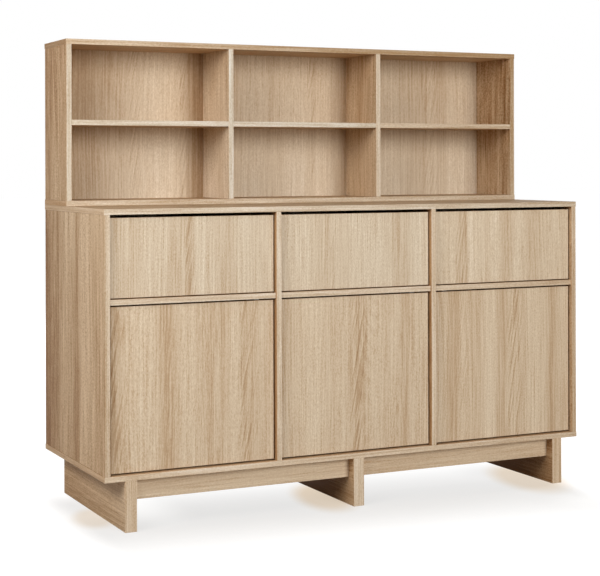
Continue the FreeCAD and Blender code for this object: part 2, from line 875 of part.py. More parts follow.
def make_screw(name, x, y, head_low, upward, length):
    """A pan-headed screw with a hexagon socket, its shank pointing up or down."""
    head = rod(name + "_head", (x, y, head_low), "+Z", "screw_head_radius", "screw_head_height")
    start = "%s - (%s)" % (head_low, length)
    socket_low = "%s + screw_head_height * (1 - socket_share)" % head_low
    if upward:
        start = "%s + screw_head_height" % head_low
        socket_low = "%s - overrun" % head_low
    shank = rod(name + "_shank", (x, y, start), "+Z", "screw_radius", length)
    socket = doc.addObject("Part::Prism", name + "_socket")
    socket.Polygon = 6
    bind(socket, "Circumradius", "screw_head_radius * socket_share")
    bind(socket, "Height", "screw_head_height * socket_share + overrun")
    place(socket, (x, y, socket_low))
    return cut(name, fuse(name + "_solid", [head, shank]), [socket])


def make_screws():
    screws = []
    for number, (x, y) in enumerate(leg_screw_spots()):
        screws.append(make_screw(
            "leg_screw_%d" % number, x, y, "floor_top", False, "board + leg_screw_bite"))
    for number, (x, y) in enumerate(hutch_screw_spots()):
        screws.append(make_screw(
            "hutch_screw_%d" % number, x, y, "top_under - screw_head_height", True,
            "board + hutch_screw_bite"))
    node(group("carcass_screws", screws), "carcass_screws")


def check_document():
    """Stops before anything is written if an object failed or a shape is unsound."""
    for item in doc.Objects:
        if "Invalid" in item.State or "Error" in item.State:
            raise RuntimeError("%s did not build: %s" % (item.Label, item.State))
    for item in nodes:
        if item.Shape.isNull() or not item.Shape.isValid() or not item.Shape.Solids:
            raise RuntimeError("%s has no sound solid" % item.Label)


def write_parts():
    os.makedirs("parts", exist_ok=True)
    for item in nodes:
        item.Shape.exportStep("parts/%s.step" % item.Label)
    print("%d nodes, %d solids" % (len(nodes), sum(len(item.Shape.Solids) for item in nodes)))


fill_sheet()
make_base_boards()
make_hutch()
make_underframe()
make_cupboard_shelves()
for bay_number, bay_name in enumerate(BAYS):
    make_drawer(bay_number, bay_name)
make_runners()
make_doors()
make_screws()
doc.recompute()
check_document()
write_parts()
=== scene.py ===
import math
import bpy
from mathutils import Matrix, Vector


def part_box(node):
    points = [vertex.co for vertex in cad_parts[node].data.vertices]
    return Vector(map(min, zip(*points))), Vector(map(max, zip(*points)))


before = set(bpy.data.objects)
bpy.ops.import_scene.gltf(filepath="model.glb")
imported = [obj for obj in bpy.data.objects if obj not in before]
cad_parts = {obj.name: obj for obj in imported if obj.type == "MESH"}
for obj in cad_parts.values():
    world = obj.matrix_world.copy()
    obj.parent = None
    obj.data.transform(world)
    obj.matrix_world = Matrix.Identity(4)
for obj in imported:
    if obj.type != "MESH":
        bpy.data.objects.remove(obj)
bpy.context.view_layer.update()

# The looks of a wide oak-faced chest: three drawers over three doors, with an open
# hutch on its top. The boards keep their own meshes and get an oak material each,
# whose grain runs along the board and whose edges carry a paler banding.

X, Y, Z = 0, 1, 2
WHITE = (1, 1, 1, 1)
# The middle of a noise, a ramp or a curve, which all run from zero to one
MIDDLE = 0.5


# Node helpers


def srgb(red, green, blue):
    """The scene-linear form of an 8-bit colour, by the formula of the sRGB standard."""
    def linear(level):
        level = level / 255
        return level / 12.92 if level <= 0.04045 else ((level + 0.055) / 1.055) ** 2.4
    return (linear(red), linear(green), linear(blue), 1)


def feed(tree, socket, value):
    """Links a socket to an output, or sets its value."""
    if isinstance(value, bpy.types.NodeSocket):
        tree.links.new(value, socket)
    else:
        socket.default_value = value


def calc(tree, operation, *values, clamp=False):
    node = tree.nodes.new("ShaderNodeMath")
    node.operation = operation
    node.use_clamp = clamp
    for socket, value in zip(node.inputs, values):
        feed(tree, socket, value)
    return node.outputs[0]


def vector(tree, x, y, z):
    node = tree.nodes.new("ShaderNodeCombineXYZ")
    for socket, value in zip(node.inputs, (x, y, z)):
        feed(tree, socket, value)
    return node.outputs[0]


def parts_of(tree, source):
    node = tree.nodes.new("ShaderNodeSeparateXYZ")
    tree.links.new(source, node.inputs[0])
    return node.outputs


# The Mix node's sockets for each kind: (first input, second input, output)
MIX_SOCKETS = {"FLOAT": (2, 3, 0), "RGBA": (6, 7, 2)}


def mix(tree, share, first, second, kind="FLOAT"):
    node = tree.nodes.new("ShaderNodeMix")
    node.data_type = kind
    first_socket, second_socket, result = MIX_SOCKETS[kind]
    feed(tree, node.inputs[0], share)
    feed(tree, node.inputs[first_socket], first)
    feed(tree, node.inputs[second_socket], second)
    return node.outputs[result]


def remap(tree, value, low, high, start=0.0, end=1.0):
    """Carries a range onto another one with soft ends."""
    node = tree.nodes.new("ShaderNodeMapRange")
    node.interpolation_type = "SMOOTHSTEP"
    for socket, number in zip(node.inputs, (value, low, high, start, end)):
        feed(tree, socket, number)
    return node.outputs[0]


def scaled(tree, value, sizes):
    """A place or a colour with each of its three numbers times a size of its own."""
    node = tree.nodes.new("ShaderNodeVectorMath")
    node.operation = "MULTIPLY"
    feed(tree, node.inputs[0], value)
    feed(tree, node.inputs[1], sizes)
    return node.outputs[0]


def noise(tree, place, along, across, detail, roughness=0.5):
    """Noise with its own cells per metre along the first axis and across it."""
    node = tree.nodes.new("ShaderNodeTexNoise")
    feed(tree, node.inputs["Vector"], scaled(tree, place, (along, across, across)))
    feed(tree, node.inputs["Scale"], 1.0)
    feed(tree, node.inputs["Detail"], detail)
    feed(tree, node.inputs["Roughness"], roughness)
    return node.outputs[0]


def swing(tree, value, size=1.0):
    """Noise about zero, times a size."""
    return calc(tree, "MULTIPLY", calc(tree, "SUBTRACT", value, MIDDLE), size)


def total(tree, *terms):
    """The sum of several (value, size) pairs, where a plain value stands for size one."""
    result = None
    for term in terms:
        value = calc(tree, "MULTIPLY", *term) if isinstance(term, tuple) else term
        result = value if result is None else calc(tree, "ADD", result, value)
    return result


def share_between(tree, value, low, high):
    """How far a value has come from a low to a high one, from zero to one."""
    return calc(tree, "DIVIDE", total(tree, value, -low), high - low, clamp=True)


def ramp(tree, value, stops):
    """The colour at a value, from (value, colour) stops."""
    node = tree.nodes.new("ShaderNodeValToRGB")
    points = node.color_ramp.elements
    while len(points) < len(stops):
        points.new(MIDDLE)
    for point, (spot, colour) in zip(points, stops):
        point.position = spot
        point.color = colour
    tree.links.new(value, node.inputs[0])
    return node.outputs[0]


def new_group(name, inputs, outputs):
    group = bpy.data.node_groups.new(name, "ShaderNodeTree")
    for label, kind in inputs:
        group.interface.new_socket(label, in_out="INPUT", socket_type=kind)
    for label, kind in outputs:
        group.interface.new_socket(label, in_out="OUTPUT", socket_type=kind)
    source = group.nodes.new("NodeGroupInput").outputs
    target = group.nodes.new("NodeGroupOutput").inputs
    return group, source, target


# Oak facing: a printed plain-sliced figure on the faces and paler banding on the edges

OAK_FACE = (
    (0.0, srgb(142, 105, 66)),
    (0.35, srgb(187, 161, 132)),
    (0.5, srgb(204, 184, 160)),
    (0.65, srgb(215, 198, 175)),
    (1.0, srgb(240, 228, 213)))
OAK_EDGE = (
    (0.0, srgb(165, 132, 95)),
    (0.5, srgb(211, 192, 169)),
    (1.0, srgb(243, 233, 221)))
FLOAT = "NodeSocketFloat"
OAK_INPUTS = (
    "Along", "Across", "Through", "End", "Flat", "Seed", "Tone", "Profile", "Broad", "Bands",
    "Figure", "Strokes", "Lean", "Fine", "Deep", "Rim", "Stain", "EndRim", "EndStain")
OAK_OUTPUTS = (("Color", "NodeSocketColor"), ("Roughness", FLOAT), ("Height", FLOAT))
# Each noise: (cells per metre along the grain, cells per metre across it, detail, roughness)
OAK_NOISES = {
    "wander": (0.9, 2.4, 1.0, 0.5), "bands": (0.5, 14.0, 2.0, 0.6),
    "flow": (0.6, 7.0, 1.0, 0.4), "zone": (1.1, 7.0, 1.0, 0.5),
    "strokes": (5.0, 105.0, 1.0, 0.5), "streaks": (1.2, 120.0, 3.0, 0.7),
    "fibres": (5.0, 240.0, 4.0, 0.75), "grit": (150.0, 320.0, 2.0, 0.8),
    "pores": (34.0, 1100.0, 1.0, 0.5)}
# A spot is on an end face when its normal's share along the grain is over END_LIMIT, and on
# the banding when its normal's share through the board is under EDGE_LIMIT.
END_LIMIT = 0.7
EDGE_LIMIT = 0.75
# How far one seed shifts a board's noise from the next board's, in metres
SEED_STEP = 7.31
# The grain wanders sideways by up to half of this, in metres.
WANDER = 0.06
# The figure is drawn along the level lines of a slow noise, in some zones only.
FIGURE_LINES = 330.0
LINE_RANGE = (-0.3, 1.0)
ZONE_RANGE = (0.50, 0.64)
FIGURE_DEPTH = -0.12
# Dark slanting strokes, with a paler copy a few millimetres beside them
STROKE_RANGE = (0.46, 0.64)
STROKE_DARK = -0.46
STROKE_PALE = 0.24
STROKE_STEP = 0.003
PORE_RANGE = (0.60, 0.72)
# From the darker bands to the pale ones, the speckle grows from the first size to the second.
BAND_RANGE = (-0.08, 0.10)
SPECKLE_SIZES = (0.5, 1.1)
FACE_MARKS = {"streaks": 0.40, "fibres": 0.75, "speckle": 0.75, "pores": -0.12}
EDGE_MARKS = {"streaks": 1.1, "fibres": 0.7, "grit": 0.7}
# What a Deep, Stain or EndStain of one takes away from red, green and blue
DEEPENING = (0.0, 0.075, 0.16)
OAK_ROUGHNESS = 0.52
PORE_ROUGHNESS = 0.12
PORE_HEIGHT = -0.8


def layer(tree, place, name):
    """One of the facing's noises."""
    return noise(tree, place, *OAK_NOISES[name])


def grain_places(tree, given, on_end):
    """A spot's place in the grain, the same leaning, and leaning with a step beside it."""
    # The banding on an end face runs across the board.
    shift = (given["Seed"], SEED_STEP)
    along = total(tree, mix(tree, on_end, given["Along"], given["Across"]), shift)
    across = total(tree, mix(tree, on_end, given["Across"], given["Along"]), shift)
    through = total(tree, given["Through"], shift)

    # A slow sideways wander bends every line of the figure.
    straight = vector(tree, along, across, through)
    across = total(tree, across, swing(tree, layer(tree, straight, "wander"), WANDER))
    lean = (along, given["Lean"])
    return (
        vector(tree, along, across, through),
        vector(tree, along, total(tree, across, lean), through),
        vector(tree, along, total(tree, across, lean, STROKE_STEP), through))


def fine_marks(tree, place):
    """Streaks, fibres and grit about zero, and pores from zero to one."""
    marks = {
        name: swing(tree, layer(tree, place, name)) for name in ("streaks", "fibres", "grit")}
    marks["pores"] = remap(tree, layer(tree, place, "pores"), *PORE_RANGE)
    return marks


def weighted(tree, marks, sizes):
    """The sum of the marks that have a size."""
    return total(tree, *((marks[name], size) for name, size in sizes.items()))


def plain_sliced(tree, place):
    """The long pointed lines of plain-sliced oak, from zero to one."""
    flow = calc(tree, "MULTIPLY", layer(tree, place, "flow"), FIGURE_LINES)
    lines = remap(tree, calc(tree, "SINE", flow), *LINE_RANGE)
    zone = remap(tree, layer(tree, place, "zone"), *ZONE_RANGE)
    return calc(tree, "MULTIPLY", lines, zone)


def slanting_strokes(tree, leaning, beside):
    return total(tree, *(
        (remap(tree, layer(tree, place, "strokes"), *STROKE_RANGE), size)
        for place, size in ((leaning, STROKE_DARK), (beside, STROKE_PALE))))


def face_level(tree, given, places, marks):
    """Where a spot on a face stands on the face's colour ramp."""
    place, leaning, beside = places
    bands = swing(tree, layer(tree, place, "bands"))
    broad = total(tree, (given["Profile"], given["Broad"]), (bands, given["Bands"]))
    speckle = calc(
        tree, "MULTIPLY", marks["grit"], remap(tree, broad, *BAND_RANGE, *SPECKLE_SIZES))
    figure = calc(tree, "MULTIPLY", plain_sliced(tree, place), given["Figure"])
    strokes = slanting_strokes(tree, leaning, beside)
    fine = weighted(tree, {**marks, "speckle": speckle}, FACE_MARKS)
    return total(
        tree, MIDDLE, given["Tone"], broad, (figure, FIGURE_DEPTH),
        (strokes, given["Strokes"]), (fine, given["Fine"]))


def edge_level(tree, given, on_end, marks):
    """Where a spot on the edge banding stands on the banding's colour ramp."""
    rim = mix(tree, on_end, given["Rim"], given["EndRim"])
    return total(tree, MIDDLE, rim, weighted(tree, marks, EDGE_MARKS))


def deepened(tree, colour, deep):
    """A colour with less green and less blue in it."""
    return scaled(tree, colour, vector(tree, *(
        calc(tree, "SUBTRACT", 1.0, calc(tree, "MULTIPLY", deep, share))
        for share in DEEPENING)))


def make_oak_group():
    """The facing as one node group, which all the boards' materials share."""
    inputs = [(label, FLOAT) for label in OAK_INPUTS]
    group, given, out = new_group("oak_facing", inputs, OAK_OUTPUTS)
    on_end = calc(group, "GREATER_THAN", calc(group, "ABSOLUTE", given["End"]), END_LIMIT)
    on_edge = calc(group, "LESS_THAN", calc(group, "ABSOLUTE", given["Flat"]), EDGE_LIMIT)
    places = grain_places(group, given, on_end)
    marks = fine_marks(group, places[0])
    face = ramp(group, face_level(group, given, places, marks), OAK_FACE)
    edge = ramp(group, edge_level(group, given, on_end, marks), OAK_EDGE)
    edge_deep = mix(group, on_end, given["Stain"], given["EndStain"])
    deep = mix(group, on_edge, given["Deep"], edge_deep)
    colour = mix(group, on_edge, face, edge, "RGBA")
    feed(group, out["Color"], deepened(group, colour, deep))
    feed(group, out["Roughness"], total(group, OAK_ROUGHNESS, (marks["pores"], PORE_ROUGHNESS)))
    feed(group, out["Height"], total(group, marks["fibres"], (marks["pores"], PORE_HEIGHT)))
    return group


OAK_GROUP = make_oak_group()
OAK_BUMP = 0.00006
OAK_GLOSS = 0.1
# The inputs of plain oak. Tone lightens a face and Deep browns it, Rim and Stain do the same to
# the edges, and EndRim and EndStain to the end faces, where they differ. Some boards use these
# levels for painted light and shade, as marked in the table of figures. Profile is the level of
# the board's own bands and Broad their strength, and Bands is the strength of bands from noise.
# Figure, Strokes and Fine are strengths too, and Lean is the strokes' slant.
OAK_PLAIN = {
    "Tone": 0.0, "Profile": 0.0, "Broad": 0.85, "Bands": 0.5, "Figure": 1.0, "Strokes": 0.0,
    "Lean": -0.2, "Fine": 1.0, "Deep": 0.0, "Rim": 0.0, "Stain": 0.0}
# What changes on a board with bands of its own
OAK_BANDED = {"Bands": 0.25, "Figure": 0.5}
# The bands waver sideways by up to half of this, in metres.
BAND_WAVER = 0.03
# A noise in the room: (cells per metre along X, cells per metre along Y and Z, detail)
WAVER_NOISE = (1.3, 1.3, 2.0)


def bare_tree(owner):
    """The emptied node tree of a material or a world."""
    owner.use_nodes = True
    owner.node_tree.nodes.clear()
    return owner.node_tree


def new_material(name):
    material = bpy.data.materials.new(name)
    tree = bare_tree(material)
    shader = tree.nodes.new("ShaderNodeBsdfPrincipled")
    output = tree.nodes.new("ShaderNodeOutputMaterial")
    tree.links.new(shader.outputs[0], output.inputs[0])
    return material, tree, shader.inputs


def bump(tree, shader, height, distance):
    node = tree.nodes.new("ShaderNodeBump")
    feed(tree, node.inputs["Distance"], distance)
    feed(tree, node.inputs["Height"], height)
    feed(tree, shader["Normal"], node.outputs[0])


def curve_across(tree, share, stops):
    """A soft curve through (share of the board's width, level) pairs.

    The node's own levels run from zero to one, so its middle stands for level zero."""
    node = tree.nodes.new("ShaderNodeFloatCurve")
    line = node.mapping.curves[0]
    while len(line.points) < len(stops):
        line.points.new(MIDDLE, MIDDLE)
    for point, (where, level) in zip(line.points, stops):
        point.location = (where, MIDDLE + level)
    node.mapping.update()
    feed(tree, node.inputs["Value"], share)
    return calc(tree, "SUBTRACT", node.outputs[0], MIDDLE)


def own_marks(tree, place, across, edges, bands, strokes):
    """The inputs for bands and strokes at places of a board's own, from edge to edge."""
    waver = swing(tree, noise(tree, place, *WAVER_NOISE), BAND_WAVER)
    share = share_between(tree, total(tree, across, waver), *edges)
    values = {}
    if bands:
        values.update(OAK_BANDED, Profile=curve_across(tree, share, bands))
    if strokes:
        values["Strokes"] = curve_across(tree, share, strokes)
    return values


def oak_facing(tree, values, along, ends):
    """The facing's outputs. A pair of values runs from one end of the board to the other."""
    facing = tree.nodes.new("ShaderNodeGroup")
    facing.node_tree = OAK_GROUP
    for label, value in values.items():
        if isinstance(value, tuple):
            value = mix(tree, share_between(tree, along, *ends), *value)
        feed(tree, facing.inputs[label], value)
    return facing.outputs


def oak(name, box, lie, seed, bands=(), strokes=(), spread=1.0, **figure):
    """Oak facing for a board that fills a box and lies as (axis of the grain, axis through it).

    The spread widens the figure across the board."""
    limits = list(zip(*box))
    grain, through = lie
    (across,) = {X, Y, Z} - {grain, through}
    material, tree, shader = new_material(name)
    coordinates = tree.nodes.new("ShaderNodeTexCoord").outputs
    place = parts_of(tree, coordinates["Object"])
    normal = parts_of(tree, coordinates["Normal"])
    values = {
        **OAK_PLAIN, "Along": place[grain], "Across": calc(tree, "DIVIDE", place[across], spread),
        "Through": place[through], "End": normal[grain], "Flat": normal[through], "Seed": seed}
    if bands or strokes:
        values.update(own_marks(
            tree, coordinates["Object"], place[across], limits[across], bands, strokes))
    values.update(figure)
    values.setdefault("EndRim", values["Rim"])
    values.setdefault("EndStain", values["Stain"])
    facing = oak_facing(tree, values, place[grain], limits[grain])
    feed(tree, shader["Base Color"], facing["Color"])
    feed(tree, shader["Roughness"], facing["Roughness"])
    feed(tree, shader["Specular IOR Level"], OAK_GLOSS)
    bump(tree, shader, facing["Height"], OAK_BUMP)
    return material


# Fittings, with noises like the one for the waver

ROLLING_MARKS = (60.0, 900.0, 2.0)
PLATING_CLOUD = (45.0, 45.0, 3.0)
PLATING_RANGE = (0.25, 0.75)
PLATING_DIM = 0.88
PLATING_WEAR = 0.08
MOULD_GRIT = (1400.0, 1400.0, 1.0)
MOULD_DIM = 0.93
MOULD_ROUGHNESS = (0.42, 0.55)
MARKS_RANGE = (0.3, 0.7)
FITTING_BUMP = 0.00002
ZINC = (0.66, 0.66, 0.67, 1)
ZINC_ROUGHNESS = 0.36
NICKEL = (0.70, 0.69, 0.67, 1)
NICKEL_ROUGHNESS = 0.24
LIGHT_GREY = (0.66, 0.66, 0.64, 1)


def dimmed(tree, value, limits, colour, dim):
    """A colour that is dimmed at the low limit of a noise and whole at its high limit."""
    low, high = limits
    dim_colour = tuple(level * dim for level in colour[:3]) + (1,)
    return ramp(tree, value, ((low, dim_colour), (high, colour)))


def steel(name, colour, rough):
    """Plated sheet steel with faint rolling marks."""
    material, tree, shader = new_material(name)
    place = tree.nodes.new("ShaderNodeTexCoord").outputs["Object"]
    marks = noise(tree, place, *ROLLING_MARKS)
    cloud = noise(tree, place, *PLATING_CLOUD)
    feed(tree, shader["Base Color"], dimmed(tree, cloud, PLATING_RANGE, colour, PLATING_DIM))
    feed(tree, shader["Metallic"], 1.0)
    feed(tree, shader["Roughness"], remap(
        tree, marks, *MARKS_RANGE, rough - PLATING_WEAR, rough + PLATING_WEAR))
    bump(tree, shader, marks, FITTING_BUMP)
    return material


def moulded(name, colour):
    """Moulded plastic with a fine matt texture."""
    material, tree, shader = new_material(name)
    place = tree.nodes.new("ShaderNodeTexCoord").outputs["Object"]
    grit = noise(tree, place, *MOULD_GRIT)
    feed(tree, shader["Base Color"], dimmed(tree, grit, MARKS_RANGE, colour, MOULD_DIM))
    feed(tree, shader["Roughness"], remap(tree, grit, *MARKS_RANGE, *MOULD_ROUGHNESS))
    bump(tree, shader, grit, FITTING_BUMP)
    return material


# Which material each board gets


def dress(node, material):
    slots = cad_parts[node].data.materials
    slots.clear()
    slots.append(material)


WELD_DISTANCE = 0.00002
ARRIS = 0.0006
ARRIS_STEPS = 2
ARRIS_ANGLE = math.radians(50)


def soften(node):
    """Eases the sharp arrises of a board by a fraction of a millimetre.

    The weld comes first and joins the corners that the board's faces share."""
    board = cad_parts[node]
    weld = board.modifiers.new("weld", "WELD")
    weld.merge_threshold = WELD_DISTANCE
    ease = board.modifiers.new("arris", "BEVEL")
    ease.width = ARRIS
    ease.segments = ARRIS_STEPS
    ease.limit_method = "ANGLE"
    ease.angle_limit = ARRIS_ANGLE
    ease.harden_normals = True


BAYS = ("left", "middle", "right")

# How a board lies: (axis of the grain, axis through the board)
LYING, LYING_DEEP = (X, Z), (Y, Z)
STANDING, FACING = (Z, X), (Z, Y)
ALONG_FRONT, ALONG_SIDE = (X, Y), (Y, X)

# How each board lies. A board's place in this list is its seed.
BOARDS = {
    "base_bottom": LYING, "base_top_board": LYING, "base_side_left": STANDING,
    "base_side_right": STANDING, "base_divider_left": STANDING, "base_divider_right": STANDING,
    "drawer_deck_left": LYING, "drawer_deck_middle": LYING, "drawer_deck_right": LYING,
    "base_back_sheet": FACING, "hutch_bottom_board": LYING, "hutch_top_board": LYING,
    "hutch_side_left": STANDING, "hutch_side_right": STANDING, "hutch_divider_left": STANDING,
    "hutch_divider_right": STANDING, "hutch_shelf_left": LYING, "hutch_shelf_middle": LYING,
    "hutch_shelf_right": LYING, "hutch_back_sheet": FACING, "leg_left": ALONG_SIDE,
    "leg_middle": ALONG_SIDE, "leg_right": ALONG_SIDE, "apron_front_left": ALONG_FRONT,
    "apron_front_right": ALONG_FRONT, "apron_rear_left": ALONG_FRONT,
    "apron_rear_right": ALONG_FRONT, "cupboard_shelves": LYING,
    "drawer_front_left": FACING, "drawer_front_middle": FACING, "drawer_front_right": FACING,
    "door_left": FACING, "door_middle": FACING, "door_right": FACING,
}
# Broad bands of the boards that show most: (share of the width, level), from low X or Y
BANDS = {
    "drawer_front_left": (
        (0.0, -0.03), (0.10, 0.0), (0.14, -0.07), (0.18, 0.0), (0.40, 0.02), (0.47, -0.05),
        (0.54, 0.08), (0.62, 0.05), (0.70, -0.03), (0.80, 0.11), (0.87, 0.01), (1.0, 0.02)),
    "drawer_front_middle": (
        (0.0, -0.07), (0.08, 0.04), (0.18, 0.05), (0.28, -0.06), (0.36, -0.02), (0.50, 0.03),
        (0.63, 0.07), (0.73, 0.02), (0.78, -0.08), (0.81, -0.02), (0.83, -0.08), (0.90, 0.03),
        (1.0, 0.03)),
    "drawer_front_right": (
        (0.0, 0.0), (0.12, 0.02), (0.20, -0.06), (0.27, 0.04), (0.36, 0.0), (0.44, 0.06),
        (0.52, -0.05), (0.63, 0.05), (0.72, -0.06), (0.80, 0.0), (1.0, -0.01)),
    "door_left": (
        (0.0, -0.22), (0.04, -0.08), (0.10, 0.04), (0.19, 0.09), (0.26, 0.0), (0.34, -0.08),
        (0.39, 0.02), (0.46, 0.04), (0.56, -0.01), (0.66, -0.04), (0.75, 0.07), (0.82, -0.06),
        (0.88, -0.05), (0.94, 0.01), (1.0, -0.02)),
    "door_middle": (
        (0.0, -0.04), (0.12, 0.0), (0.23, 0.06), (0.31, -0.04), (0.40, 0.05), (0.51, -0.06),
        (0.58, 0.04), (0.68, 0.0), (0.77, 0.02), (0.84, -0.09), (0.90, 0.06), (1.0, 0.0)),
    "door_right": (
        (0.0, -0.01), (0.06, 0.01), (0.13, -0.06), (0.21, 0.05), (0.32, 0.0), (0.42, 0.07),
        (0.49, -0.06), (0.55, 0.0), (0.62, -0.02), (0.73, 0.05), (0.82, 0.01), (0.88, -0.07),
        (0.94, 0.01), (1.0, 0.0)),
    "base_side_left": (
        (0.0, 0.03), (0.10, 0.03), (0.20, -0.04), (0.28, 0.02), (0.38, 0.0), (0.44, -0.14),
        (0.50, 0.0), (0.58, 0.07), (0.66, 0.02), (0.72, -0.08), (0.78, -0.18), (0.83, -0.04),
        (0.92, -0.20), (1.0, -0.36)),
    "hutch_side_left": (
        (0.0, 0.02), (0.25, 0.0), (0.40, 0.08), (0.55, 0.02), (0.72, -0.20), (0.82, -0.10),
        (0.92, -0.18), (1.0, -0.14)),
    # Partly painted shade: the back is darker at the left of the left niche, where the hutch's
    # side casts its shadow, and in the right-hand corners of the left and middle niches
    "hutch_back_sheet": (
        (0.0, -0.28), (0.05, -0.24), (0.083, -0.16), (0.12, -0.06), (0.156, 0.0), (0.181, 0.02),
        (0.20, 0.05), (0.228, 0.09), (0.256, 0.05), (0.272, 0.05), (0.283, 0.02),
        (0.292, -0.08), (0.303, -0.17), (0.313, -0.22), (0.323, -0.20), (0.333, -0.20),
        (0.37, -0.10), (0.402, -0.03), (0.441, 0.03), (0.48, 0.0), (0.519, 0.04), (0.558, 0.08),
        (0.579, 0.0), (0.589, 0.08), (0.61, 0.08), (0.623, 0.09), (0.633, 0.05), (0.645, -0.03),
        (0.656, -0.13), (0.665, -0.18), (0.70, -0.10), (0.752, 0.0), (0.774, 0.06), (0.80, 0.0),
        (0.849, -0.05), (0.874, 0.0), (0.898, -0.06), (0.922, 0.03), (0.946, 0.05),
        (0.962, 0.05), (0.975, 0.08), (0.988, 0.09), (1.0, 0.05)),
    "hutch_divider_left": (
        (0.0, -0.06), (0.14, -0.05), (0.29, -0.03), (0.43, 0.04), (0.57, 0.02), (0.71, 0.07),
        (0.86, 0.05), (1.0, 0.16)),
}
# Where short slanting strokes of figure stand: (share of the width, strength)
STROKES = {
    "drawer_front_left": ((0.0, 0.0), (0.43, 0.0), (0.48, 0.4), (0.53, 0.0), (1.0, 0.0)),
    "drawer_front_middle": ((0.0, 0.1), (0.25, 0.0), (0.32, 0.3), (0.38, 0.0), (1.0, 0.0)),
    "drawer_front_right": ((0.0, 0.0), (0.14, 0.1), (0.20, 0.4), (0.27, 0.0), (1.0, 0.0)),
    "door_left": (
        (0.0, 0.5), (0.07, 0.2), (0.14, 0.0), (0.74, 0.0), (0.83, 0.5), (0.92, 0.0), (1.0, 0.0)),
    "door_middle": ((0.0, 0.0), (0.44, 0.1), (0.51, 0.5), (0.58, 0.0), (1.0, 0.0)),
    "door_right": (
        (0.0, 0.0), (0.16, 0.1), (0.21, 0.3), (0.27, 0.0), (0.50, 0.0), (0.59, 0.5), (0.67, 0.0),
        (1.0, 0.0)),
    "hutch_back_sheet": (
        (0.0, 0.0), (0.155, 0.0), (0.178, 0.4), (0.20, 0.0), (0.264, 0.0), (0.28, 0.35),
        (0.296, 0.0), (0.56, 0.0), (0.574, 0.35), (0.59, 0.0), (0.84, 0.0), (0.873, 0.3),
        (0.905, 0.0), (1.0, 0.0)),
}
# Painted shade: the banding round the fronts is darker and browner, for the shade in the gaps
# round them, and the faces inside the cabinet are darker and deeper, for the dark inside it
FRONT = {"Rim": -0.25, "Stain": 1.5}
INSIDE_SHADE = {"Tone": -0.17, "Deep": 1.8}
